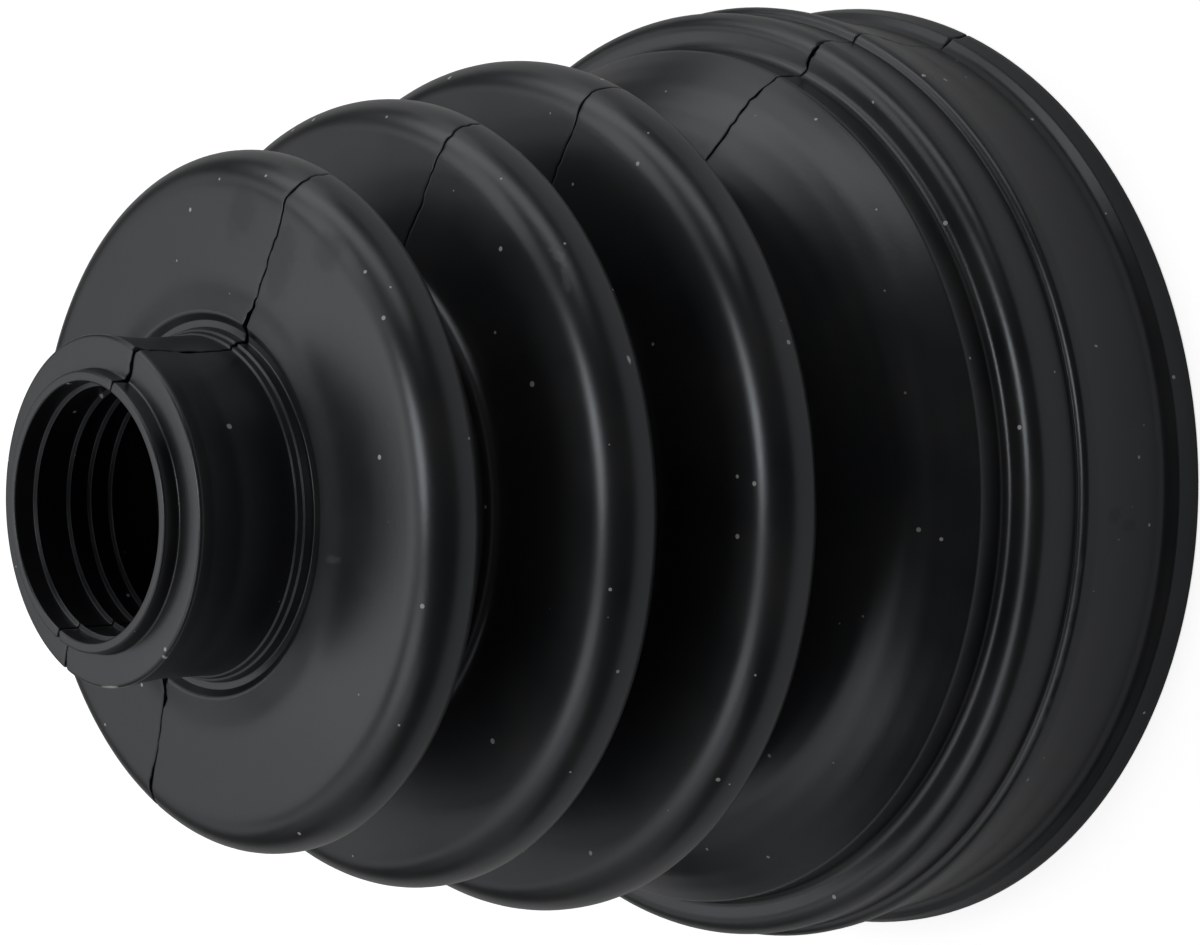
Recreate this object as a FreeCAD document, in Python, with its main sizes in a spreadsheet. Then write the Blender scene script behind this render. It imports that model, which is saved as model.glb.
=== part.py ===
"""Split bellows boot for a drive shaft joint: two moulded rubber half shells that meet on a plane
through the shaft axis.

Frame: the axis is +Z, the large mouth lies on Z = 0 and the small end points up. The halves part on the
XZ plane. Lengths are in millimetres, angles in degrees.
"""
import FreeCAD, Part
import math
import os

import Sketcher

# Every size that a designer would set by itself: name, value, meaning.
SIZES = [
    ("large_seat_radius", 43.4, "seat of the large clamp band"),
    ("large_seat_width", 5.3, "straight part of that seat"),
    ("large_wall", 3.4, "wall between that seat and the large bore"),
    ("large_bore_depth", 16.6, "depth of the large bore"),
    ("mouth_chamfer", 0.6, "lead-in at the large mouth"),
    ("rim_stand", 1.5, "how far the rim round the large mouth stands out from the seat"),
    ("rim_edge", 0.7, "upright part of the rim's edge"),
    ("rim_slope", 1.65, "height of the rim's sloping side"),
    ("rim_draw", 0.6, "how far that side draws in"),
    ("rim_top", 0.95, "height from there to the seat"),
    ("ridge_stand", 1.2, "how far the ridge that holds the large clamp stands out from the seat"),
    ("ridge_slope", 3.0, "height of the ramp from the seat to the ridge"),
    ("ramp_round", 2.6, "rounding at the foot of that ramp"),
    ("ridge_width", 2.35, "width of the ridge's crest"),
    ("ridge_back", 0.1, "slope of the ridge's ledge"),
    ("ridge_round", 0.8, "rounding between the ramp and the ridge"),
    ("band_stand", 0.35, "how far the plain band above the ridge stands out from the seat"),
    ("band_height", 6.0, "height of the plain band"),
    ("band_round", 1.3, "rounding of the shoulder above the band"),
    ("step_in", 3.3, "how far the short collar under the dome stands in from the seat"),
    ("step_rise", 0.2, "slope of the shoulder, measured along the axis"),
    ("step_round", 0.85, "rounding at the foot of that collar"),
    ("step_height", 3.1, "height of that collar"),
    ("throat_drop", 0.9, "how far the throat's inner corner lies below the collar's outer one"),
    ("dome_corner_in", 5.45, "from the collar to where the dome's two tangents cross"),
    ("dome_corner_rise", 5.7, "height of that crossing above the collar"),
    ("dome_round", 20.0, "radius of the domed convolution"),
    ("valley_3_in", 14.65, "from the collar to the valley above the dome"),
    ("valley_3_rise", 1.95, "height of that valley above the dome's crossing"),
    ("crest_3_in", 1.75, "from the collar to the third convolution's crest"),
    ("crest_3_rise", 10.3, "that crest above the valley below"),
    ("valley_2_in", 15.15, "depth of the valley above the third convolution"),
    ("valley_2_rise", 2.1, "height of that valley above the crest below"),
    ("crest_2_in", 3.8, "how much smaller the second convolution is than the third"),
    ("crest_2_rise", 7.9, "its crest above the valley below"),
    ("valley_1_in", 14.55, "depth of the valley above the second convolution"),
    ("valley_1_rise", 2.0, "height of that valley above the crest below"),
    ("crest_1_in", 4.65, "how much smaller the first convolution is than the second"),
    ("crest_1_rise", 8.5, "its crest above the valley below"),
    ("crest_round", 2.9, "rounding of every crest"),
    ("crest_flat", 1.4, "how much wider than that rounding a crest's two corners stand apart"),
    ("valley_round", 1.2, "rounding of every valley, outside"),
    ("wall", 2.3, "wall of the bellows"),
    ("face_rise", 0.75, "how far the first convolution's face slopes up towards its root"),
    ("face_out", 2.6, "width of the part next to the root that curls up more"),
    ("root_rise", 0.75, "how far that part curls up"),
    ("small_bore_radius", 10.75, "bore of the small end between its sealing ribs"),
    ("small_wall", 3.35, "wall between the small bore and the seat of the small clamp band"),
    ("small_seat_width", 7.45, "width of that seat"),
    ("root_stand", 2.3, "from that seat out to the root of the first convolution's face"),
    ("groove_depth", 0.4, "fine groove round the root, below the face"),
    ("groove_side", 0.5, "width of that groove's sloping side"),
    ("ring_stand", 1.05, "how far the fine ring beside the groove stands out from the seat"),
    ("ring_height", 1.1, "height of that ring"),
    ("collar_stand", 0.5, "how far the collar that holds the small clamp stands out from the seat"),
    ("collar_slope", 0.4, "height of the collar's sloping underside"),
    ("collar_width", 1.85, "width of the collar"),
    ("collar_round", 0.5, "rounding of the collar's outer edge"),
    ("lip_wall", 0.9, "wall of the raised lip round the small mouth"),
    ("lip_height", 1.4, "height of the lip above the collar"),
    ("fine_round", 0.2, "rounding of the fine edges"),
    ("soft_round", 0.6, "rounding of the softer edges"),
    ("rib_height", 0.65, "sealing ribs in both bores"),
    ("rib_crest", 0.5, "width of a rib's crest"),
    ("rib_base", 1.3, "width of a rib's base"),
    ("rib_root", 0.4, "how deep a rib is rooted in the wall"),
    ("first_rib_drop", 2.0, "first small rib below the lip's top"),
    ("small_rib_drop", 5.3, "second small rib below the lip's top"),
    ("small_rib_pitch", 2.1, "spacing of the second to fourth small ribs"),
    ("small_rib_count", 3, "number of evenly spaced small ribs"),
    ("large_rib_rise", 4.0, "first large rib above the mouth"),
    ("large_rib_pitch", 4.0, "spacing of the large ribs"),
    ("large_rib_count", 2, "number of large ribs"),
    ("seam_gap", 0.12, "gap between the two halves"),
    ("notch_gap", 0.5, "width of the places where the seam stands open"),
]

# Where the seam stands open: name, side along X, the radius and the height that it lies at, how far above
# that height its middle is, half its width across and half its length along the axis.
OPENINGS = [
    ("root_notch", 1, "root", "root", 0.0, 2.7, 1.2),
    ("collar_notch", 1, "collar", "collar_top", 0.0, 1.6, 1.0),
    ("seat_notch", 1, "small_seat", "ring", 4.1, 0.8, 0.65),
    ("ridge_notch", 1, "ridge", "ridge_low", 0.0, 1.2, 0.9),
    ("face_notch", -1, "root", "root", 0.0, 2.9, 1.2),
    ("lip_notch", -1, "lip", "lip_top", 0.0, 0.9, 1.2),
]

START, END, CENTRE = range(1, 4)   # the sketcher's numbers for a curve's points
ORIGIN = (-START, START)           # the start of the sketch's own X axis
TURN = 180.0                       # each half shell goes half way round


class Size:
    """A length together with the spreadsheet expression that gives it."""

    def __init__(self, value, text):
        self.value = value
        self.text = text

    def __add__(self, other):
        return Size(self.value + other.value, "%s + %s" % (self.text, other.text))

    def __sub__(self, other):
        return Size(self.value - other.value, "%s - (%s)" % (self.text, other.text))

    def __mul__(self, number):
        return Size(self.value * number, "(%s) * %s" % (self.text, number))


def named_sizes():
    """Each driving dimension as a Size bound to its cell."""
    return {name: Size(float(value), "Sizes." + name) for name, value, _ in SIZES}


def fill_sheet(doc):
    """The spreadsheet of driving dimensions, one row each."""
    sheet = doc.addObject("Spreadsheet::Sheet", "Sizes")
    for row, (name, value, meaning) in enumerate(SIZES, start=1):
        sheet.set("A%d" % row, name)
        sheet.set("B%d" % row, str(value))
        sheet.set("C%d" % row, meaning)
        sheet.setAlias("B%d" % row, name)
    return sheet


class Corner:
    """A corner of an outline: at (x, y), rounded by a radius, or concentric with another corner."""

    def __init__(self, x=None, y=None, rounding=None, inside=None):
        self.x = x
        self.y = y
        self.rounding = rounding
        self.inside = inside     # the index of the outer corner that this one follows
        self.arc = None          # centre, first tangent point, second tangent point, radius, anticlockwise


def radii(s):
    """The radii of the boot's turning points, from the two clamp seats outwards and inwards."""
    r = {"large_seat": s["large_seat_radius"], "small_bore": s["small_bore_radius"]}
    r["rim"] = r["large_seat"] + s["rim_stand"]
    r["ridge"] = r["large_seat"] + s["ridge_stand"]
    r["band"] = r["large_seat"] + s["band_stand"]
    r["large_bore"] = r["large_seat"] - s["large_wall"]
    r["step"] = r["large_seat"] - s["step_in"]
    r["throat"] = r["step"] - s["wall"]
    r["dome"] = r["step"] - s["dome_corner_in"]
    r["valley_3"] = r["step"] - s["valley_3_in"]
    r["crest_3"] = r["step"] - s["crest_3_in"]
    r["valley_2"] = r["crest_3"] - s["valley_2_in"]
    r["crest_2"] = r["crest_3"] - s["crest_2_in"]
    r["valley_1"] = r["crest_2"] - s["valley_1_in"]
    r["crest_1"] = r["crest_2"] - s["crest_1_in"]
    r["lip"] = r["small_bore"] + s["lip_wall"]
    r["small_seat"] = r["small_bore"] + s["small_wall"]
    r["collar"] = r["small_seat"] + s["collar_stand"]
    r["ring"] = r["small_seat"] + s["ring_stand"]
    r["root"] = r["small_seat"] + s["root_stand"]
    r["face"] = r["root"] + s["face_out"]
    return r


def heights(s):
    """The heights of the boot's turning points, added up from the large mouth."""
    crest_width = s["crest_round"] + s["crest_flat"]
    steps = [
        ("rim_edge", s["rim_edge"]),
        ("rim_slope", s["rim_slope"]),
        ("large_seat", s["rim_top"]),
        ("ramp", s["large_seat_width"]),
        ("ridge_low", s["ridge_slope"]),
        ("ridge_high", s["ridge_width"]),
        ("band_foot", s["ridge_back"]),
        ("shoulder", s["band_height"]),
        ("step_foot", s["step_rise"]),
        ("joint", s["step_height"] * 0.5),
        ("dome_foot", s["step_height"] * 0.5),
        ("dome", s["dome_corner_rise"]),
        ("valley_3", s["valley_3_rise"]),
        ("crest_3", s["crest_3_rise"]),
        ("shoulder_3", crest_width),
        ("valley_2", s["valley_2_rise"]),
        ("crest_2", s["crest_2_rise"]),
        ("shoulder_2", crest_width),
        ("valley_1", s["valley_1_rise"]),
        ("crest_1", s["crest_1_rise"]),
        ("shoulder_1", crest_width),
        ("face", s["face_rise"]),
        ("root", s["root_rise"]),
        ("groove", s["groove_depth"] * -1.0),
        ("ring", s["ring_height"]),
        ("collar_slope", s["small_seat_width"]),
        ("collar_low", s["collar_slope"]),
        ("collar_top", s["collar_width"]),
        ("lip_top", s["lip_height"]),
    ]
    at = {}
    level = None
    for name, rise in steps:
        level = rise if level is None else level + rise
        at[name] = level
    return at


def large_end_outline(s, r, at):
    """Section from the large mouth up to the collar under the dome."""
    zero = Size(0.0, "0")
    fine, soft = s["fine_round"], s["soft_round"]
    return [
        Corner(r["large_bore"] + s["mouth_chamfer"], zero),
        Corner(r["rim"], zero, fine),
        Corner(r["rim"], at["rim_edge"], soft),
        Corner(r["rim"] - s["rim_draw"], at["rim_slope"], soft),
        Corner(r["large_seat"], at["large_seat"], fine),
        Corner(r["large_seat"], at["ramp"], s["ramp_round"]),
        Corner(r["ridge"], at["ridge_low"], s["ridge_round"]),
        Corner(r["ridge"], at["ridge_high"], fine * 2.0),
        Corner(r["band"], at["band_foot"], fine),
        Corner(r["band"], at["shoulder"], s["band_round"]),
        Corner(r["step"], at["step_foot"], s["step_round"]),
        Corner(r["step"], at["joint"]),
        Corner(r["throat"], at["joint"]),
        Corner(r["throat"], s["large_bore_depth"], soft),
        Corner(r["large_bore"], s["large_bore_depth"], soft),
        Corner(r["large_bore"], s["mouth_chamfer"]),
    ]


def bellows_outline(s, r, at):
    """Section of the convolutions: up their outside, then down inside at an even wall."""
    crest, valley = s["crest_round"], s["valley_round"]
    outer = [
        Corner(r["step"], at["joint"]),
        Corner(r["step"], at["dome_foot"], s["soft_round"]),
        Corner(r["dome"], at["dome"], s["dome_round"]),
        Corner(r["valley_3"], at["valley_3"], valley),
        Corner(r["crest_3"], at["crest_3"], crest),
        Corner(r["crest_3"], at["shoulder_3"], crest),
        Corner(r["valley_2"], at["valley_2"], valley),
        Corner(r["crest_2"], at["crest_2"], crest),
        Corner(r["crest_2"], at["shoulder_2"], crest),
        Corner(r["valley_1"], at["valley_1"], valley),
        Corner(r["crest_1"], at["crest_1"], crest),
        Corner(r["crest_1"], at["shoulder_1"], crest),
        Corner(r["face"], at["face"]),
    ]
    inner = [Corner(r["face"], at["face"] - s["wall"])]
    for index in range(len(outer) - 2, 1, -1):
        inner.append(Corner(inside=index))
    inner.append(Corner(r["throat"], at["dome_foot"] - s["throat_drop"], s["soft_round"]))
    inner.append(Corner(r["throat"], at["joint"]))
    return outer + inner


def small_end_outline(s, r, at):
    """Section from the first convolution's face up to the lip, then down the bore."""
    fine = s["fine_round"]
    return [
        Corner(r["face"], at["face"]),
        Corner(r["root"], at["root"], fine * 2.0),
        Corner(r["root"] - s["groove_side"], at["groove"], fine),
        Corner(r["ring"] + fine, at["groove"], fine),
        Corner(r["ring"], at["ring"], fine),
        Corner(r["small_seat"], at["ring"], fine),
        Corner(r["small_seat"], at["collar_slope"], fine),
        Corner(r["collar"], at["collar_low"], fine),
        Corner(r["collar"], at["collar_top"], s["collar_round"]),
        Corner(r["lip"], at["collar_top"], fine),
        Corner(r["lip"], at["lip_top"], fine),
        Corner(r["small_bore"], at["lip_top"], fine),
        Corner(r["small_bore"], at["face"] - s["wall"] + fine, s["soft_round"]),
        Corner(r["face"], at["face"] - s["wall"]),
    ]


def unit(start, end):
    """The direction from one point to another."""
    step = end - start
    return step * (1.0 / step.Length)


def round_corner(before, at, after, radius):
    """Centre and tangent points of the arc that rounds the corner at a point."""
    back, ahead = unit(at, before), unit(at, after)
    half = math.acos(max(-1.0, min(1.0, back.dot(ahead)))) / 2
    reach = radius / math.tan(half)
    centre = at + unit(FreeCAD.Vector(), back + ahead) * (radius / math.sin(half))
    anticlockwise = (at - before).cross(after - at).z > 0
    return centre, at + back * reach, at + ahead * reach, radius, anticlockwise


def place_arcs(corners, wall):
    """Works out every rounding, first of the free corners and then of those that follow another."""
    points = []
    for corner in corners:
        source = corners[corner.inside] if corner.inside is not None else corner
        points.append(FreeCAD.Vector(source.x.value, source.y.value, 0))
    points_before = points[-1:] + points[:-1]
    points_after = points[1:] + points[:1]
    for corner, before, at, after in zip(corners, points_before, points, points_after):
        if corner.inside is None and corner.rounding is not None:
            corner.arc = round_corner(before, at, after, corner.rounding.value)
    for corner in corners:
        if corner.inside is None:
            continue
        centre, first, second, radius, anticlockwise = corners[corner.inside].arc
        corner.rounding = corners[corner.inside].rounding + (wall * (-1.0 if anticlockwise else 1.0))
        reach = corner.rounding.value / radius
        corner.arc = (centre, centre + (second - centre) * reach, centre + (first - centre) * reach,
                      corner.rounding.value, not anticlockwise)


def arc_curve(arc):
    """The sketch curve of a rounding. The sketcher draws arcs anticlockwise."""
    centre, first, second, radius, anticlockwise = arc
    start, end = (first, second) if anticlockwise else (second, first)
    circle = Part.Circle(centre, FreeCAD.Vector(0, 0, 1), radius)
    angles = [math.atan2(p.y - centre.y, p.x - centre.x) for p in (start, end)]
    return Part.ArcOfCircle(circle, angles[0], angles[1])


def draw_outline(sketch, corners, wall):
    """Draws a closed outline of lines and roundings, with its sizes bound to the sheet."""
    place_arcs(corners, wall)
    curves = []
    links = []                                     # for each corner: arc, its first point, its last point
    for corner in corners:
        if corner.arc is None:
            links.append((None, None, None))
            continue
        anticlockwise = corner.arc[-1]
        ends = (START, END) if anticlockwise else (END, START)
        links.append((len(curves),) + ends)
        curves.append(arc_curve(corner.arc))
    first_line = len(curves)
    count = len(corners)
    for index, corner in enumerate(corners):
        following = corners[(index + 1) % count]
        start = corner.arc[2] if corner.arc else FreeCAD.Vector(corner.x.value, corner.y.value, 0)
        end = following.arc[1] if following.arc else FreeCAD.Vector(following.x.value, following.y.value, 0)
        curves.append(Part.LineSegment(start, end))
    sketch.addGeometry(curves, False)
    marks = {}
    for index, corner in enumerate(corners):
        if corner.inside is None:
            point = Part.Point(FreeCAD.Vector(corner.x.value, corner.y.value, 0))
            marks[index] = sketch.addGeometry(point, True)
    rules = []
    bound = []

    def rule(expression, *parts):
        if expression is not None:
            bound.append((len(rules), expression))
        rules.append(Sketcher.Constraint(*parts))

    for index, corner in enumerate(corners):
        line_in, line_out = first_line + (index - 1) % count, first_line + index
        arc, near, far = links[index]
        if arc is None:
            rule(None, "Coincident", line_in, END, line_out, START)
            rule(None, "Coincident", marks[index], START, line_out, START)
        else:
            rule(None, "Tangent", line_in, END, arc, near)
            rule(None, "Tangent", arc, far, line_out, START)
            rule(corner.rounding.text, "Radius", arc, corner.rounding.value)
        if corner.inside is not None:
            rule(None, "Coincident", arc, CENTRE, links[corner.inside][0], CENTRE)
            continue
        mark = marks[index]
        if arc is not None:
            rule(None, "PointOnObject", mark, START, line_in)
            rule(None, "PointOnObject", mark, START, line_out)
        rule(corner.x.text, "DistanceX", *ORIGIN, mark, START, corner.x.value)
        if corner.y.value == 0.0:
            rule(None, "PointOnObject", mark, START, ORIGIN[0])
        else:
            rule(corner.y.text, "DistanceY", *ORIGIN, mark, START, corner.y.value)
    sketch.addConstraint(rules)
    for number, expression in bound:
        sketch.setExpression("Constraints[%d]" % number, expression)


def plane_of(body, role):
    """One of a body's own origin planes or axes."""
    for feature in body.Origin.OriginFeatures:
        if feature.Role == role:
            return feature


def new_sketch(body, name):
    """An empty sketch on the body's seam plane: its X is the radius, its Y the height."""
    sketch = body.newObject("Sketcher::SketchObject", name)
    sketch.AttachmentSupport = [(plane_of(body, "XZ_Plane"), "")]
    sketch.MapMode = "FlatFace"
    return sketch


def revolve(body, sketch, name, backwards):
    """Turns a section half way round the axis, to the body's own side of the seam."""
    turned = body.newObject("PartDesign::Revolution", name)
    turned.Profile = sketch
    turned.ReferenceAxis = (sketch, ["V_Axis"])
    turned.Angle = TURN
    turned.Reversed = backwards
    return turned


def rib_outline(s, bore, height):
    """A sealing rib's section: a flat crest, sloping sides and a root in the wall."""
    crest, root = bore - s["rib_height"], bore + s["rib_root"]
    half_crest, half_base = s["rib_crest"] * 0.5, s["rib_base"] * 0.5
    return [
        Corner(crest, height - half_crest),
        Corner(root, height - half_base),
        Corner(root, height + half_base),
        Corner(crest, height + half_crest),
    ]


def add_ribs(body, s, name, bore, height, backwards, pitch=None, count=None):
    """One rib, or a row of them along the axis."""
    sketch = new_sketch(body, name + "_section")
    draw_outline(sketch, rib_outline(s, bore, height), s["wall"])
    rib = revolve(body, sketch, name, backwards)
    if pitch is None:
        return
    row = body.newObject("PartDesign::LinearPattern", name + "_row")
    row.Originals = [rib]
    row.Direction = (plane_of(body, "Z_Axis"), [""])
    row.setExpression("Length", "(%s) * (%s - 1)" % (pitch.text, count.text))
    row.setExpression("Occurrences", count.text)
    body.Tip = row


def cut_from_seam(body, name, corners, gap, wall, backwards):
    """Sets the mating face back by half a gap inside an outline."""
    sketch = new_sketch(body, name + "_outline")
    draw_outline(sketch, corners, wall)
    pocket = body.newObject("PartDesign::Pocket", name)
    pocket.Profile = sketch
    pocket.Type = 0
    pocket.setExpression("Length", "%s / 2" % gap.text)
    pocket.Reversed = backwards


def rectangle(across, along):
    """Four square corners, from a pair of radii and a pair of heights."""
    return [
        Corner(across[0], along[0]),
        Corner(across[1], along[0]),
        Corner(across[1], along[1]),
        Corner(across[0], along[1]),
    ]


def fixed(number):
    """A plain length, written as a Size."""
    return Size(float(number), str(float(number)))


def cut_notches(body, s, r, at, backwards):
    """The short places where the seam stands open, each anchored to a radius and a height of the boot."""
    for name, side, radius, height, above, half_across, half_along in OPENINGS:
        middle = at[height] + fixed(above)
        across = (r[radius] - fixed(half_across), r[radius] + fixed(half_across))
        if side < 0:
            across = (across[1] * -1.0, across[0] * -1.0)
        corners = rectangle(across, (middle - fixed(half_along), middle + fixed(half_along)))
        cut_from_seam(body, name, corners, s["notch_gap"], s["wall"], backwards)


def half_shell(doc, s, name, backwards):
    """One moulded half: the wall, the ribs in both bores, then the mating face."""
    body = doc.addObject("PartDesign::Body", name)
    body.Label = name
    r, at = radii(s), heights(s)
    outlines = [
        ("large_end", large_end_outline(s, r, at)),
        ("bellows", bellows_outline(s, r, at)),
        ("small_end", small_end_outline(s, r, at)),
    ]
    for part_name, corners in outlines:
        sketch = new_sketch(body, part_name + "_section")
        draw_outline(sketch, corners, s["wall"])
        revolve(body, sketch, part_name, backwards)
    small, large = r["small_bore"], r["large_bore"]
    add_ribs(body, s, "first_rib", small, at["lip_top"] - s["first_rib_drop"], backwards)
    lowest = at["lip_top"] - s["small_rib_drop"] - s["small_rib_pitch"] * (s["small_rib_count"].value - 1)
    add_ribs(body, s, "small_rib", small, lowest, backwards, s["small_rib_pitch"], s["small_rib_count"])
    add_ribs(body, s, "large_rib", large, s["large_rib_rise"], backwards,
             s["large_rib_pitch"], s["large_rib_count"])
    reach = r["rim"] + s["wall"]
    whole = rectangle((reach * -1.0, reach), (s["wall"] * -1.0, at["lip_top"] + s["wall"]))
    cut_from_seam(body, "seam_face", whole, s["seam_gap"], s["wall"], backwards)
    cut_notches(body, s, r, at, backwards)
    return body


def check(doc, bodies):
    """Stops if anything failed to build."""
    for item in doc.Objects:
        if "Invalid" in item.State or "Error" in item.State:
            raise RuntimeError("%s failed: %s" % (item.Label, item.State))
    for item in doc.Objects:
        if item.TypeId == "PartDesign::Pocket" and not item.Shape.Volume < item.BaseFeature.Shape.Volume:
            raise RuntimeError(item.Label + " cuts nothing")
    for body in bodies:
        shape = body.Shape
        if shape.isNull() or not shape.isValid() or len(shape.Solids) != 1:
            raise RuntimeError("%s is not one valid solid" % body.Label)


def main():
    doc = FreeCAD.newDocument("split_bellows_boot")
    fill_sheet(doc)
    sizes = named_sizes()
    bodies = [
        half_shell(doc, sizes, "front_half_shell", True),
        half_shell(doc, sizes, "back_half_shell", False),
    ]
    doc.recompute()
    check(doc, bodies)
    os.makedirs("parts", exist_ok=True)
    for body in bodies:
        body.Shape.exportStep("parts/%s.step" % body.Label)
        box = body.Shape.BoundBox
        print(body.Label, "volume %.0f" % body.Shape.Volume, "Y %.2f to %.2f" % (box.YMin, box.YMax),
              "Z %.2f to %.2f" % (box.ZMin, box.ZMax))


main()
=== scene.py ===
"""Split rubber bellows boot: two moulded half shells with a ragged seam, in dusty black rubber.

The frame is the CAD's: metres, the axis is +Z, the large mouth stands on Z = 0, and the halves part on
the XZ plane. Sizes in this file are written in millimetres and turned into metres where a mesh is made.
"""
import math

import bpy
from mathutils import Matrix, Vector, noise
from mathutils.geometry import delaunay_2d_cdt


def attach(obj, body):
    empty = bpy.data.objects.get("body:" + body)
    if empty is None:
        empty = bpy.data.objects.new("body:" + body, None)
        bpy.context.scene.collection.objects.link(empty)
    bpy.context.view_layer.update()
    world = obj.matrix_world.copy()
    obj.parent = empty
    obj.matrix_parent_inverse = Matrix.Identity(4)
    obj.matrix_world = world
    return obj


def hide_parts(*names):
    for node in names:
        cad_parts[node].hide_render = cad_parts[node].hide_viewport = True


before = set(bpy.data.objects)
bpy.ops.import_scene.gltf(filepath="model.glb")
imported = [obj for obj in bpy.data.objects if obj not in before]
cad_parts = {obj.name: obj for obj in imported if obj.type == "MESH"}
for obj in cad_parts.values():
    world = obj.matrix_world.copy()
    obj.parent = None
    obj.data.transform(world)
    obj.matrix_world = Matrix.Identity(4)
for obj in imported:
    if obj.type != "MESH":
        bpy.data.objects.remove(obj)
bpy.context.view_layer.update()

MM = 0.001

# How far a fold's crest is rounded above, and below; inside, the wall is moulded round an even curve.
CREST_TOP = 3.45
CREST_FOOT = 1.70
CREST_EVEN = 2.70

LENGTH = 88.0
SMALL_BORE = 10.75
LARGE_BORE = 40.0

# The boot's section, from the large mouth up the outside to the lip: radius, height, rounding.
OUTSIDE = [
    (40.60, 0.00, 0.25),
    (44.90, 0.00, 0.25),
    (44.85, 0.80, 0.80),
    (44.48, 2.35, 0.60),
    (43.36, 3.35, 1.50),
    (43.60, 8.20, 8.00),
    (44.42, 13.20, 2.00),
    (44.45, 14.70, 0.80),
    (43.50, 14.90, 0.20),
    (43.80, 20.45, 1.80),
    (40.10, 20.25, 0.85),
    (40.05, 23.35, 0.65),
    (34.60, 29.05, 20.00),
    (25.40, 31.00, 1.20),
    (38.40, 41.45, CREST_FOOT),
    (38.40, 45.65, CREST_TOP),
    (23.20, 47.70, 1.20),
    (34.60, 55.75, CREST_FOOT),
    (34.60, 59.95, CREST_TOP),
    (20.00, 61.90, 1.20),
    (29.95, 70.55, CREST_FOOT),
    (29.95, 74.75, CREST_TOP),
    (18.60, 75.60, 9.00),
    (16.30, 76.20, 0.48),
    (15.62, 75.66, 0.18),
    (14.98, 75.66, 0.12),
    (14.84, 76.46, 0.06),
    (14.62, 76.52, 0.05),
    (14.52, 77.00, 0.05),
    (14.32, 77.06, 0.05),
    (14.18, 82.20, 6.00),
    (14.46, 85.10, 4.00),
    (14.68, 86.60, 0.34),
    (11.75, 86.62, 0.18),
    (11.65, LENGTH, 0.25),
    (SMALL_BORE, LENGTH, 0.20),
]
MOUTH_BEVEL = 0.6                # the large bore's edge, at the end face
DOME_START = (38.85, 24.30)      # the even wall starts here
FACE_END = (19.40, 75.40)        # and ends here
WALL = 2.3
SMALL_BORE_FOOT = 73.25          # where the small bore opens into the folds
LARGE_BORE_TOP = 16.6            # where the large bore opens into the throat
THROAT = 37.75
THROAT_TOP = 22.3
INNER_ROUNDING = 0.6

# Sealing ribs: the height of each crest, from the top one down, and their section.
SMALL_RIBS = (86.0, 82.7, 80.6, 78.5)
LARGE_RIBS = (8.0, 4.0)
RIB_CREST = 0.42                 # how far a rib stands in
RIB_HALF_CREST = 0.03
RIB_HALF_BASE = 0.14
RIB_TOP_ROUNDING = 0.03
RIB_ROOT_ROUNDING = 0.08

# How finely the mesh follows the boot. The inside is hardly seen, so it is coarser.
FINE_BEND = math.radians(8)
COARSE_BEND = math.radians(10)
OUTER_STEP = 0.6
INNER_STEP = 2.0
COLUMNS = 108

# The seam: where it stands open. Side along X, radius and height, half length, extra half gap.
OPEN_PLACES = [
    (1, (16.4, 76.2), 2.6, 0.26),
    (1, (14.3, 81.2), 0.9, 0.28),
    (1, (14.6, 86.3), 1.2, 0.24),
    (1, (12.3, 86.7), 1.4, 0.26),
    (1, (28.5, 75.0), 2.0, 0.05),
    (1, (42.6, 19.6), 2.0, 0.16),
    (1, (40.2, 22.0), 1.0, 0.12),
    (1, (44.2, 11.0), 1.3, 0.24),
    (1, (43.5, 9.2), 0.8, 0.20),
    (1, (44.5, 1.5), 2.0, 0.13),
    (1, (38.0, 25.8), 1.5, 0.05),
    (1, (34.6, 57.5), 1.8, 0.05),
    (-1, (16.6, 76.2), 3.0, 0.30),
    (-1, (14.6, 86.4), 1.2, 0.18),
    (-1, (11.6, 87.8), 0.7, 0.16),
    (-1, (27.4, 74.6), 3.0, 0.22),
    (-1, (34.6, 57.5), 2.2, 0.10),
]
HALF_GAP = 0.045
LEAST_HALF_GAP = 0.015

# The seam's unevenness. Waves are counted to a millimetre.
STRAY_WAVES = ((0.360, 0.21), (0.240, 0.90), (0.1632, 2.20))   # how far it strays to a side, and waves
GAP_CHANGE, GAP_WAVES = 1.3, 1.3     # share by which the gap varies, and waves
OPEN_EVEN, OPEN_CHANGE, OPEN_WAVES = 0.8, 0.6, 1.9   # the same for open places, after their even share
SIDE_SHIFT = 37.0                # keeps the boot's two sides from having the same seam
GAP_SHIFT = Vector((5, 0, 0))    # keeps the gap from following the seam's course

# The mating edges, worn round.
WORN_EDGE = ((0.0, 0.07), (0.05, 0.030), (0.11, 0.008), (0.24, 0.0))   # distance from the seam, drop
WORN_WIDTH = 0.5                 # the even columns start this far from the seam


# Outlines

def arc_points(before, at, after, radius, bend):
    """The corner rounded by an arc, as points no more than a bend's angle apart."""
    at = Vector(at)
    back = (Vector(before) - at).normalized()
    ahead = (Vector(after) - at).normalized()
    opening = back.angle(ahead)
    reach = radius / math.tan(opening / 2)
    centre = at + (back + ahead).normalized() * (radius / math.sin(opening / 2))
    start = at + back * reach - centre
    turn = math.pi - opening
    side = 1 if (-back).cross(ahead) > 0 else -1
    count = max(2, math.ceil(turn / bend))
    points = []
    for step in range(count + 1):
        angle = side * turn * step / count
        cosine, sine = math.cos(angle), math.sin(angle)
        points.append((centre.x + start.x * cosine - start.y * sine,
                       centre.y + start.x * sine + start.y * cosine))
    return points


def rounded(corners, bend):
    """An open run of corners with every inner one rounded."""
    points = [corners[0][:2]]
    for before, at, after in zip(corners, corners[1:], corners[2:]):
        if at[2] > 0:
            points += arc_points(before[:2], at[:2], after[:2], at[2], bend)
        else:
            points.append(at[:2])
    points.append(corners[-1][:2])
    return points


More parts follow.
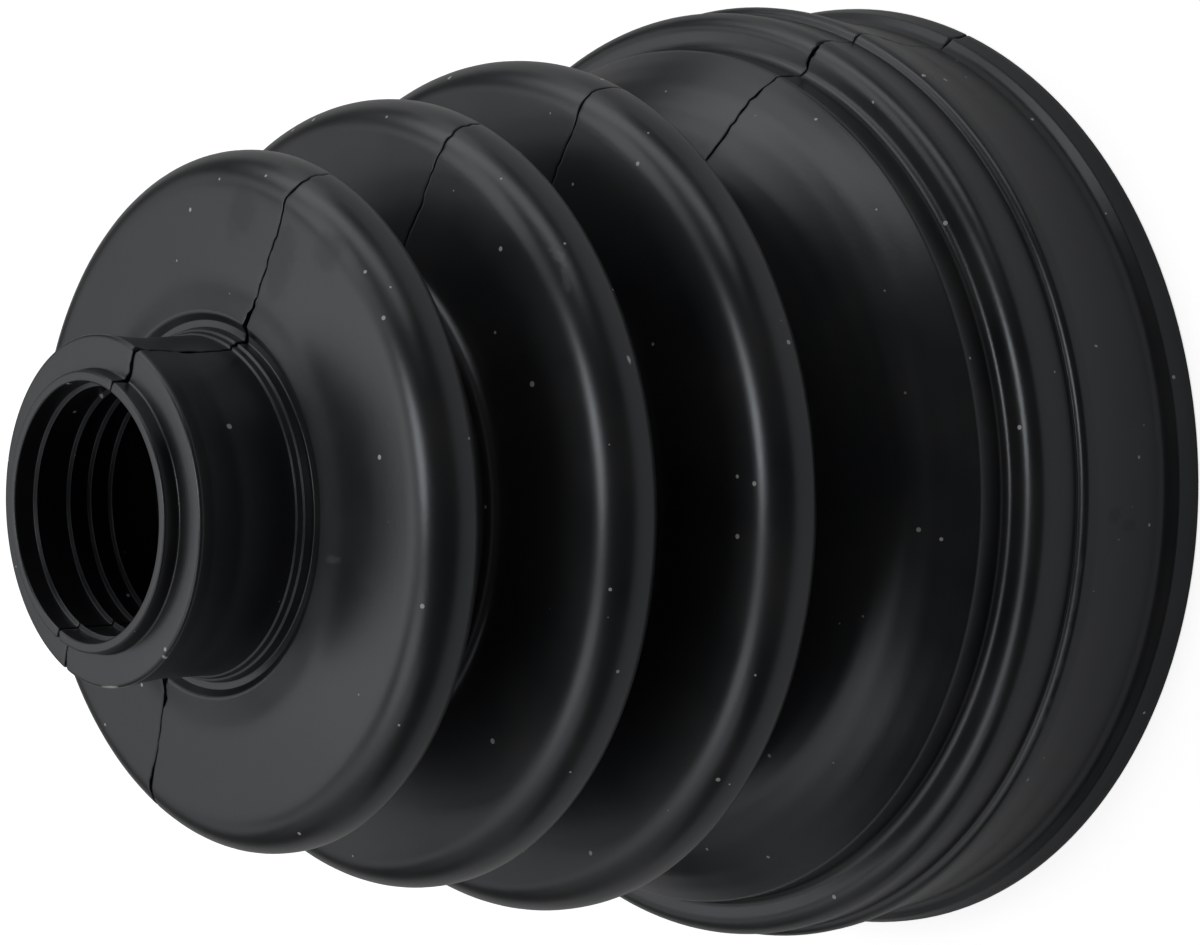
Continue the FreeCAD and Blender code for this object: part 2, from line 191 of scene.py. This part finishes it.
def divided(points, longest):
    """The same run with long stretches cut up, so that the seam can be ragged along them."""
    run = [points[0]]
    for start, end in zip(points, points[1:]):
        length = math.dist(start, end)
        count = max(1, math.ceil(length / longest))
        for step in range(1, count + 1):
            part = step / count
            run.append((start[0] + (end[0] - start[0]) * part, start[1] + (end[1] - start[1]) * part))
    return run


def set_in(points, depth):
    """A run of points moved to the inside by the wall's thickness."""
    moved = []
    steps = [(Vector(after) - Vector(before)).normalized() for before, after in zip(points, points[1:])]
    for point, coming, going in zip(points, steps[:1] + steps, steps + steps[-1:]):
        along = (coming + going).normalized()
        reach = depth / along.dot(going)
        moved.append((point[0] - along.y * reach, point[1] + along.x * reach))
    return moved


def ribbed_bore(radius, ribs):
    """Corners down a bore, from its top rib to its lowest."""
    corners = []
    for height in ribs:
        corners += [
            (radius, height + RIB_HALF_BASE, RIB_ROOT_ROUNDING),
            (radius - RIB_CREST, height + RIB_HALF_CREST, RIB_TOP_ROUNDING),
            (radius - RIB_CREST, height - RIB_HALF_CREST, RIB_TOP_ROUNDING),
            (radius, height - RIB_HALF_BASE, RIB_ROOT_ROUNDING),
        ]
    return corners


def nearest(points, place):
    """Index of the point that lies nearest to a place."""
    return min(range(len(points)), key=lambda index: math.dist(points[index], place))


def boot_outline():
    """The closed section: up the outside, down the small bore, then down the inside of the folds."""
    small = ribbed_bore(SMALL_BORE, SMALL_RIBS)
    outside = [(LARGE_BORE, MOUTH_BEVEL, 0)] + OUTSIDE + small[:1]
    even = [(radius, height, CREST_EVEN if rounding in (CREST_TOP, CREST_FOOT) else rounding)
            for radius, height, rounding in outside]
    coarse = rounded(even, COARSE_BEND)
    start, end = nearest(coarse, DOME_START), nearest(coarse, FACE_END)
    folds = set_in(coarse[start:end + 1], WALL)[::-1]
    bore = [(SMALL_BORE, LENGTH, 0)] + small
    bore += [(SMALL_BORE, SMALL_BORE_FOOT, INNER_ROUNDING), folds[0] + (0,)]
    throat = [
        folds[-1] + (0,),
        (THROAT, THROAT_TOP, INNER_ROUNDING),
        (THROAT, LARGE_BORE_TOP, INNER_ROUNDING),
        (LARGE_BORE, LARGE_BORE_TOP, INNER_ROUNDING),
    ]
    throat += ribbed_bore(LARGE_BORE, LARGE_RIBS)
    throat += [(LARGE_BORE, MOUTH_BEVEL, 0.1), (LARGE_BORE + MOUTH_BEVEL, 0.0, 0)]
    inside = rounded(bore, COARSE_BEND)[1:-1] + folds + rounded(throat, COARSE_BEND)[1:-1]
    return divided(rounded(outside, FINE_BEND)[1:-1], OUTER_STEP) + divided(inside, INNER_STEP)


def section_triangles(outline):
    """The section cut up into triangles, all anticlockwise, for the mating faces."""
    ring = list(range(len(outline)))
    result = delaunay_2d_cdt([Vector(point) for point in outline], [], [ring], 0, 1e-6, True)
    triangles = []
    for face, sources in zip(result[2], result[5]):
        if not sources:
            continue
        a, b, c = (result[3][index][0] for index in face)
        first = Vector(outline[b]) - Vector(outline[a])
        second = Vector(outline[c]) - Vector(outline[a])
        triangles.append((a, b, c) if first.cross(second) > 0 else (a, c, b))
    return triangles


# The half shells

def seam_course(side, point):
    """How far the seam strays at a point of the section, and half its gap there."""
    here = Vector((point[0], point[1], SIDE_SHIFT * side))
    stray = sum(reach * noise.noise(here * waves) for reach, waves in STRAY_WAVES)
    gap = HALF_GAP * (1 + GAP_CHANGE * noise.noise(here * GAP_WAVES + GAP_SHIFT))
    for place_side, place, half_length, extra in OPEN_PLACES:
        distance = math.dist(point, place)
        if place_side == side and distance < half_length:
            swell = 1 - (distance / half_length) ** 2
            gap += extra * swell * (OPEN_EVEN + OPEN_CHANGE * noise.noise(here * OPEN_WAVES))
    return stray, max(gap, LEAST_HALF_GAP)


def half_shell_mesh(name, outline, toward):
    """One half: the section turned half way round, its edges worn round, and its mating faces closed.
    toward is +1 for the half behind the seam and -1 for the half in front of it."""
    count = len(outline)
    normals = []
    for index in range(count):
        before, after = outline[index - 1], outline[(index + 1) % count]
        along = Vector((after[0] - before[0], after[1] - before[1])).normalized()
        normals.append((along.y, -along.x))
    seams = {side: [seam_course(side, point) for point in outline] for side in (1, -1)}
    worn = len(WORN_EDGE)
    vertices = []
    for column in range(COLUMNS + 1):
        low, high = column, COLUMNS - column
        for index, (radius, height) in enumerate(outline):
            start = (toward * seams[1][index][0] + seams[1][index][1]) / radius
            end = math.pi - (toward * seams[-1][index][0] + seams[-1][index][1]) / radius
            drop = 0.0
            if low < worn:
                angle, drop = start + WORN_EDGE[low][0] / radius, WORN_EDGE[low][1]
            elif high < worn:
                angle, drop = end - WORN_EDGE[high][0] / radius, WORN_EDGE[high][1]
            else:
                first, last = start + WORN_WIDTH / radius, end - WORN_WIDTH / radius
                part = (column - worn) / (COLUMNS - 2 * worn)
                angle = first + (last - first) * part
            out = radius - normals[index][0] * drop
            vertices.append((out * math.cos(angle) * MM, toward * out * math.sin(angle) * MM,
                             (height - normals[index][1] * drop) * MM))
    faces = []
    for column in range(COLUMNS):
        for index in range(count):
            following = (index + 1) % count
            a, b = column * count + index, column * count + following
            c, d = b + count, a + count
            faces.append((a, d, c, b) if toward > 0 else (a, b, c, d))
    walls = len(faces)
    for triangle in section_triangles(outline):
        if toward < 0:
            triangle = triangle[::-1]
        faces.append(triangle)
        faces.append(tuple(COLUMNS * count + index for index in triangle[::-1]))
    mesh = bpy.data.meshes.new(name)
    mesh.from_pydata(vertices, [], faces)
    smooth = [index < walls for index in range(len(faces))]
    mesh.polygons.foreach_set("use_smooth", smooth)
    mesh.update()
    return mesh


# Shader tools

def node(tree, kind, place, **settings):
    """A node with its settings and the values of its unlinked inputs."""
    made = tree.nodes.new(kind)
    made.location = place
    inputs = settings.pop("inputs", {})
    for key, value in settings.items():
        setattr(made, key, value)
    for key, value in inputs.items():
        made.inputs[key].default_value = value
    return made


def new_group(name, inputs, outputs):
    """An empty shader group with named inputs and outputs."""
    tree = bpy.data.node_groups.new(name, "ShaderNodeTree")
    for label, kind, value in inputs:
        socket = tree.interface.new_socket(name=label, in_out="INPUT", socket_type=kind)
        socket.default_value = value
    for label, kind in outputs:
        tree.interface.new_socket(name=label, in_out="OUTPUT", socket_type=kind)
    return tree, node(tree, "NodeGroupInput", (-900, 0)), node(tree, "NodeGroupOutput", (900, 0))


def lint_group():
    """Specks of lint, scattered thinly."""
    tree, given, out = new_group("lint_specks", [
        ("Vector", "NodeSocketVector", (0, 0, 0)),
        ("Cells per metre", "NodeSocketFloat", 470.0),
        ("Speck size", "NodeSocketFloat", 0.115),
        ("Amount", "NodeSocketFloat", 0.42),
    ], [("Mask", "NodeSocketFloat")])
    cells = node(tree, "ShaderNodeTexVoronoi", (-600, 100), feature="F1")
    tree.links.new(given.outputs["Vector"], cells.inputs["Vector"])
    tree.links.new(given.outputs["Cells per metre"], cells.inputs["Scale"])
    chance = node(tree, "ShaderNodeSeparateColor", (-400, -60))
    tree.links.new(cells.outputs["Color"], chance.inputs["Color"])
    size = node(tree, "ShaderNodeMath", (-200, -60), operation="MULTIPLY")
    tree.links.new(chance.outputs["Green"], size.inputs[0])
    tree.links.new(given.outputs["Speck size"], size.inputs[1])
    small = node(tree, "ShaderNodeMath", (0, 100), operation="LESS_THAN")
    tree.links.new(cells.outputs["Distance"], small.inputs[0])
    tree.links.new(size.outputs[0], small.inputs[1])
    chosen = node(tree, "ShaderNodeMath", (0, -120), operation="LESS_THAN")
    tree.links.new(chance.outputs["Red"], chosen.inputs[0])
    tree.links.new(given.outputs["Amount"], chosen.inputs[1])
    both = node(tree, "ShaderNodeMath", (300, 0), operation="MULTIPLY")
    tree.links.new(small.outputs[0], both.inputs[0])
    tree.links.new(chosen.outputs[0], both.inputs[1])
    tree.links.new(both.outputs[0], out.inputs["Mask"])
    return tree


def patch_group():
    """How far a point is from the middle of one mark: 0 there and 1 at its edge, which is frayed."""
    tree, given, out = new_group("frayed_patch", [
        ("Vector", "NodeSocketVector", (0, 0, 0)),
        ("Place", "NodeSocketVector", (0, 0, 0)),
        ("Half sizes", "NodeSocketVector", (0.002, 0.002, 0.002)),
        ("Turn", "NodeSocketFloat", 0.0),
        ("Fray", "NodeSocketFloat", 0.5),
        ("Edge noise", "NodeSocketFloat", 0.0),
    ], [("Distance", "NodeSocketFloat")])
    away = node(tree, "ShaderNodeVectorMath", (-700, 150), operation="SUBTRACT")
    tree.links.new(given.outputs["Vector"], away.inputs[0])
    tree.links.new(given.outputs["Place"], away.inputs[1])
    turned = node(tree, "ShaderNodeVectorRotate", (-500, 150), rotation_type="Z_AXIS")
    tree.links.new(away.outputs[0], turned.inputs["Vector"])
    tree.links.new(given.outputs["Turn"], turned.inputs["Angle"])
    scaled = node(tree, "ShaderNodeVectorMath", (-300, 150), operation="DIVIDE")
    tree.links.new(turned.outputs[0], scaled.inputs[0])
    tree.links.new(given.outputs["Half sizes"], scaled.inputs[1])
    far = node(tree, "ShaderNodeVectorMath", (-100, 150), operation="LENGTH")
    tree.links.new(scaled.outputs[0], far.inputs[0])
    frayed = node(tree, "ShaderNodeMath", (100, 0), operation="MULTIPLY_ADD")
    tree.links.new(given.outputs["Edge noise"], frayed.inputs[0])
    tree.links.new(given.outputs["Fray"], frayed.inputs[1])
    tree.links.new(far.outputs["Value"], frayed.inputs[2])
    tree.links.new(frayed.outputs[0], out.inputs["Distance"])
    return tree


def patches(tree, group, vector, edge_noise, marks, row):
    """A mask of a list of marks: place, half sizes along the radius, across it and up in millimetres, turn
    round the axis in degrees, and fray."""
    nearest_mark = None
    for number, (place, half, turn, fray) in enumerate(marks):
        patch = node(tree, "ShaderNodeGroup", (-2200 - 220 * number, row), node_tree=group)
        patch.inputs["Place"].default_value = [value * MM for value in place]
        patch.inputs["Half sizes"].default_value = [value * MM for value in half]
        patch.inputs["Turn"].default_value = -math.radians(turn)
        patch.inputs["Fray"].default_value = fray
        tree.links.new(vector, patch.inputs["Vector"])
        tree.links.new(edge_noise, patch.inputs["Edge noise"])
        if nearest_mark is None:
            nearest_mark = patch.outputs["Distance"]
            continue
        nearer = node(tree, "ShaderNodeMath", (-2200 - 220 * number, row + 180), operation="MINIMUM")
        tree.links.new(nearest_mark, nearer.inputs[0])
        tree.links.new(patch.outputs["Distance"], nearer.inputs[1])
        nearest_mark = nearer.outputs[0]
    mask = node(tree, "ShaderNodeMapRange", (-1900, row), interpolation_type="SMOOTHSTEP",
                inputs={"From Min": 1.0, "From Max": 0.35, "To Min": 0.0, "To Max": 1.0})
    tree.links.new(nearest_mark, mask.inputs["Value"])
    return mask.outputs["Result"]


# Marks seen in the photograph: place, half sizes (along the radius, round the axis, up), turn, fray.
WIPED_AND_SHADE_PLACES = [
    # The first is painted shade: a wide dark ring over the neck, between the collar and the first fold. The
    # rest are wiped places.
    ((0.0, 0.0, 80.8), (25.0, 25.0, 6.2), 0, 0.25),
    ((24.6, 5.2, 75.1), (3.2, 2.8, 1.6), 20, 1.1),
    ((22.6, -1.6, 75.3), (4.6, 2.4, 1.6), 0, 1.1),
    ((26.1, -7.1, 75.0), (2.6, 2.2, 1.6), -40, 1.2),
    ((2.1, -20.4, 75.5), (2.6, 1.4, 1.6), -80, 1.4),
    ((14.9, -41.3, 10.4), (1.4, 1.2, 1.5), -70, 1.1),
    ((13.8, -41.4, 8.1), (1.4, 0.8, 1.5), -72, 1.1),
]
SCUFFS_AND_HIGHLIGHT_PLACES = [
    ((3.4, -17.6, 75.8), (1.0, 0.42, 1.2), -60, 1.8),
    ((29.3, -16.5, 59.3), (0.8, 1.5, 0.46), -29, 2.6),
    ((28.0, -18.4, 59.5), (0.8, 1.8, 0.32), -33, 3.0),
    # These two are painted highlight: pale frayed lines along the ledge at the top of the clamp seat's
    # ridge.
    ((7.0, -43.5, 14.7), (0.6, 7.0, 0.16), -81, 2.4),
    ((-6.0, -44.0, 14.6), (0.6, 6.0, 0.16), -98, 2.4),
]
PALE_NICKS = [
    ((27.9, -34.1, 10.9), (0.6, 0.15, 0.34), -51, 0.3),
    ((-7.0, -12.8, 86.5), (0.28, 0.24, 0.5), -119, 1.2),
    ((-12.8, -6.7, 86.5), (0.22, 1.7, 0.14), -152, 1.1),
    ((23.8, -25.1, 56.8), (0.5, 0.40, 0.22), -46, 2.2),
]


def bloom_group():
    """Bloom on rubber: soft pale clouds with finer marks in them."""
    tree, given, out = new_group("rubber_bloom", [
        ("Vector", "NodeSocketVector", (0, 0, 0)),
        ("Clouds per metre", "NodeSocketFloat", 105.0),
        ("Marks per metre", "NodeSocketFloat", 420.0),
        ("Share of marks", "NodeSocketFloat", 0.22),
    ], [("Mask", "NodeSocketFloat")])
    clouds = node(tree, "ShaderNodeTexNoise", (-600, 150), inputs={"Detail": 1.0, "Roughness": 0.5})
    marks = node(tree, "ShaderNodeTexNoise", (-600, -150), inputs={"Detail": 2.0, "Roughness": 0.6})
    for texture, scale in ((clouds, "Clouds per metre"), (marks, "Marks per metre")):
        tree.links.new(given.outputs["Vector"], texture.inputs["Vector"])
        tree.links.new(given.outputs[scale], texture.inputs["Scale"])
    mixed = node(tree, "ShaderNodeMix", (-300, 0), data_type="FLOAT")
    tree.links.new(given.outputs["Share of marks"], mixed.inputs["Factor"])
    tree.links.new(clouds.outputs["Fac"], mixed.inputs["A"])
    tree.links.new(marks.outputs["Fac"], mixed.inputs["B"])
    stretched = node(tree, "ShaderNodeMapRange", (0, 0), inputs={"From Min": 0.25, "From Max": 0.75})
    tree.links.new(mixed.outputs["Result"], stretched.inputs["Value"])
    tree.links.new(stretched.outputs["Result"], out.inputs["Mask"])
    return tree


def skin_group():
    """The moulded skin's fine unevenness, as a height."""
    tree, given, out = new_group("moulded_skin", [
        ("Vector", "NodeSocketVector", (0, 0, 0)),
        ("Grain per metre", "NodeSocketFloat", 2600.0),
        ("Waves per metre", "NodeSocketFloat", 160.0),
        ("Share of waves", "NodeSocketFloat", 0.8),
    ], [("Height", "NodeSocketFloat")])
    grain = node(tree, "ShaderNodeTexNoise", (-600, 150), inputs={"Detail": 0.0})
    waves = node(tree, "ShaderNodeTexNoise", (-600, -150), inputs={"Detail": 0.0})
    for texture, scale in ((grain, "Grain per metre"), (waves, "Waves per metre")):
        tree.links.new(given.outputs["Vector"], texture.inputs["Vector"])
        tree.links.new(given.outputs[scale], texture.inputs["Scale"])
    mixed = node(tree, "ShaderNodeMix", (-200, 0), data_type="FLOAT")
    tree.links.new(given.outputs["Share of waves"], mixed.inputs["Factor"])
    tree.links.new(grain.outputs["Fac"], mixed.inputs["A"])
    tree.links.new(waves.outputs["Fac"], mixed.inputs["B"])
    tree.links.new(mixed.outputs["Result"], out.inputs["Height"])
    return tree


# Tones of the rubber, of what lies on it, and of painted shade and painted highlight.
CLEAN_TONE = (0.0062, 0.0078, 0.0100, 1)
BLOOM_TONE = (0.0260, 0.0262, 0.0250, 1)
# Dark wiped places, and the painted shade over the neck.
WIPED_AND_SHADE_TONE = (0.0030, 0.0036, 0.0045, 1)
# Pale scuffs, and the painted highlight along the ledge above the clamp seat.
SCUFF_AND_HIGHLIGHT_TONE = (0.060, 0.062, 0.065, 1)
LINT_TONE = (0.55, 0.55, 0.53, 1)
NICK_TONE = (0.62, 0.62, 0.58, 1)


def moulded_rubber(groups):
    """Black moulded rubber with bloom, lint, worn places, painted shade over the neck, painted highlight
    along a ledge above the clamp seat, and a fine skin.
    """
    material = bpy.data.materials.new("moulded_black_rubber")
    material.use_nodes = True
    tree = material.node_tree
    shader = tree.nodes["Principled BSDF"]
    shader.inputs["Specular IOR Level"].default_value = 0.95
    shader.inputs["Specular Tint"].default_value = (0.90, 0.95, 1.0, 1)
    place = node(tree, "ShaderNodeTexCoord", (-1400, 0))
    bloom = node(tree, "ShaderNodeGroup", (-1100, 200), node_tree=groups["bloom"])
    lint = node(tree, "ShaderNodeGroup", (-1100, 500), node_tree=groups["lint"])
    skin = node(tree, "ShaderNodeGroup", (-1100, -400), node_tree=groups["skin"])
    for used in (bloom, lint, skin):
        tree.links.new(place.outputs["Object"], used.inputs["Vector"])
    colour = node(tree, "ShaderNodeMix", (-700, 200), data_type="RGBA")
    colour.inputs["A"].default_value = CLEAN_TONE
    colour.inputs["B"].default_value = BLOOM_TONE
    tree.links.new(bloom.outputs["Mask"], colour.inputs["Factor"])
    edges = node(tree, "ShaderNodeTexNoise", (-1900, 700),
                 inputs={"Scale": 650.0, "Detail": 2.0, "Roughness": 0.65})
    tree.links.new(place.outputs["Object"], edges.inputs["Vector"])
    either_way = node(tree, "ShaderNodeMath", (-1700, 700), operation="SUBTRACT", inputs={1: 0.5})
    tree.links.new(edges.outputs["Fac"], either_way.inputs[0])
    # Besides wiped places, the first list paints shade over the neck; besides scuffs, the second paints
    # highlight along a ledge.
    wiped_and_shade, scuffed_and_highlight, nicked = (
        patches(tree, groups["patch"], place.outputs["Object"], either_way.outputs[0], marks, row)
        for marks, row in ((WIPED_AND_SHADE_PLACES, 900), (SCUFFS_AND_HIGHLIGHT_PLACES, 1400), (PALE_NICKS, 1900)))
    shown = colour.outputs["Result"]
    layers = [(wiped_and_shade, WIPED_AND_SHADE_TONE), (scuffed_and_highlight, SCUFF_AND_HIGHLIGHT_TONE), (lint.outputs["Mask"], LINT_TONE),
              (nicked, NICK_TONE)]
    for step, (mask, tone) in enumerate(layers):
        over = node(tree, "ShaderNodeMix", (-500 + 170 * step, 400), data_type="RGBA")
        over.inputs["B"].default_value = tone
        tree.links.new(shown, over.inputs["A"])
        tree.links.new(mask, over.inputs["Factor"])
        shown = over.outputs["Result"]
    tree.links.new(shown, shader.inputs["Base Color"])
    rough = node(tree, "ShaderNodeMapRange", (-700, -50), inputs={"To Min": 0.28, "To Max": 0.35})
    tree.links.new(bloom.outputs["Mask"], rough.inputs["Value"])
    smeared = node(tree, "ShaderNodeMix", (-400, -50), data_type="FLOAT", inputs={"B": 0.38})
    tree.links.new(rough.outputs["Result"], smeared.inputs["A"])
    tree.links.new(wiped_and_shade, smeared.inputs["Factor"])
    tree.links.new(smeared.outputs["Result"], shader.inputs["Roughness"])
    bump = node(tree, "ShaderNodeBump", (-400, -350), inputs={"Strength": 0.18, "Distance": 0.00012})
    tree.links.new(skin.outputs["Height"], bump.inputs["Height"])
    tree.links.new(bump.outputs["Normal"], shader.inputs["Normal"])
    return material


def floor_material():
    """A plain pale floor that the camera sees as near white, with the boot's shadow on it."""
    material = bpy.data.materials.new("pale_floor")
    material.use_nodes = True
    tree = material.node_tree
    shader = tree.nodes["Principled BSDF"]
    shader.inputs["Base Color"].default_value = FLOOR_TONE
    shader.inputs["Roughness"].default_value = 0.9
    path = node(tree, "ShaderNodeLightPath", (-700, 0))
    seen = node(tree, "ShaderNodeMath", (-450, 0), operation="MAXIMUM")
    tree.links.new(path.outputs["Is Camera Ray"], seen.inputs[0])
    tree.links.new(path.outputs["Is Transmission Ray"], seen.inputs[1])
    glow = node(tree, "ShaderNodeEmission", (-200, -250), inputs={"Color": (1, 1, 1, 1)})
    lift = node(tree, "ShaderNodeMath", (-200, -100), operation="MULTIPLY", inputs={1: FLOOR_LIFT})
    tree.links.new(seen.outputs[0], lift.inputs[0])
    tree.links.new(lift.outputs[0], glow.inputs["Strength"])
    both = node(tree, "ShaderNodeAddShader", (200, 0))
    tree.links.new(shader.outputs[0], both.inputs[0])
    tree.links.new(glow.outputs[0], both.inputs[1])
    tree.links.new(both.outputs[0], tree.nodes["Material Output"].inputs["Surface"])
    return material


# Camera and light

VIEW_FROM = Vector((110.70, -215.40, 243.20))
VIEW_RIGHT = Vector((0.24704, -0.61133, -0.75182))
VIEW_DOWN = Vector((-0.90670, -0.41960, 0.04327))
VIEW_AHEAD = Vector((-0.34192, 0.67095, -0.65795))
PHOTO_LENS = 103.99              # for a sensor 36 mm wide

FLOOR_TONE = (0.70, 0.70, 0.70, 1)
FLOOR_LIFT = 0.80                # what the floor glows with, to the camera alone
FLOOR_REACH = 3.0
AIR_GLOW = 0.035
LAMPS_AWAY = 0.9
BOOT_MIDDLE = Vector((0, 0, 0.045))

# Softboxes: name, turn, lift, size and power. Most stand behind the boot, as seen from the camera.
LAMPS = [
    ("lamp_overhead", 62, 83, (0.28, 0.28), 1.00),
    ("lamp_back_top", 180, 66, (0.40, 0.32), 0.30),
    ("lamp_left_top", -92, 66, (0.42, 0.32), 0.50),
    ("lamp_back_high", 180, 48, (0.42, 0.32), 0.42),
    ("lamp_left_high", -108, 48, (1.10, 0.32), 0.62),
    ("lamp_right_high", 128, 48, (0.50, 0.32), 0.60),
    ("lamp_back_low", 180, 28, (1.15, 0.32), 0.52),
    ("lamp_right_low", 92, 28, (1.15, 0.32), 1.45),
    ("lamp_left_low", -112, 28, (0.70, 0.32), 0.14),
    ("lamp_right_floor", 108, 8, (0.32, 0.32), 0.22),
    ("lamp_left_floor", -108, 8, (0.32, 0.32), 0.06),
]


def photo_camera():
    """The camera at the photograph's viewpoint, rolled so that the boot lies on its side in the picture."""
    data = bpy.data.cameras.new("photo_camera")
    data.sensor_width = 36.0
    data.lens = PHOTO_LENS
    data.clip_start = 0.01
    data.clip_end = 20.0
    camera = bpy.data.objects.new("photo_camera", data)
    bpy.context.collection.objects.link(camera)
    turned = Matrix((VIEW_RIGHT, -VIEW_DOWN, -VIEW_AHEAD)).transposed().to_4x4()
    camera.matrix_world = Matrix.Translation(VIEW_FROM * MM) @ turned
    bpy.context.scene.camera = camera


def soft_lamp(name, turn, lift, size, power):
    """A softbox that faces the boot's middle. turn is counted round the boot from the camera's side, lift
    from the floor, both in degrees; size is its width and height in metres."""
    data = bpy.data.lights.new(name, "AREA")
    data.shape = "RECTANGLE"
    data.size, data.size_y = size
    data.energy = power
    lamp = bpy.data.objects.new(name, data)
    bpy.context.collection.objects.link(lamp)
    around = math.atan2(VIEW_FROM.y, VIEW_FROM.x) + math.radians(turn)
    up = math.radians(lift)
    direction = Vector((math.cos(up) * math.cos(around), math.cos(up) * math.sin(around), math.sin(up)))
    lamp.location = BOOT_MIDDLE + direction * LAMPS_AWAY
    lamp.rotation_euler = (-direction).to_track_quat("-Z", "Y").to_euler()


def studio():
    """Floor, lamps and world."""
    mesh = bpy.data.meshes.new("floor")
    corners = ((-1, -1), (1, -1), (1, 1), (-1, 1))
    mesh.from_pydata([(x * FLOOR_REACH, y * FLOOR_REACH, 0) for x, y in corners], [], [(0, 1, 2, 3)])
    floor = bpy.data.objects.new("floor", mesh)
    bpy.context.collection.objects.link(floor)
    mesh.materials.append(floor_material())
    for name, turn, lift, size, power in LAMPS:
        soft_lamp(name, turn, lift, size, power)
    world = bpy.data.worlds.new("studio_air")
    bpy.context.scene.world = world
    world.use_nodes = True
    air = world.node_tree.nodes["Background"]
    air.inputs["Color"].default_value = (1, 1, 1, 1)
    air.inputs["Strength"].default_value = AIR_GLOW


def main():
    groups = {"lint": lint_group(), "patch": patch_group(), "bloom": bloom_group(), "skin": skin_group()}
    rubber = moulded_rubber(groups)
    outline = boot_outline()
    for node_name, toward in (("front_half_shell", -1), ("back_half_shell", 1)):
        mesh = half_shell_mesh(node_name + "_rubber", outline, toward)
        mesh.materials.append(rubber)
        piece = bpy.data.objects.new(node_name + "_rubber", mesh)
        bpy.context.collection.objects.link(piece)
        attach(piece, "root")
        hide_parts(node_name)
    photo_camera()
    studio()
    bpy.context.scene.view_settings.view_transform = "Standard"


main()
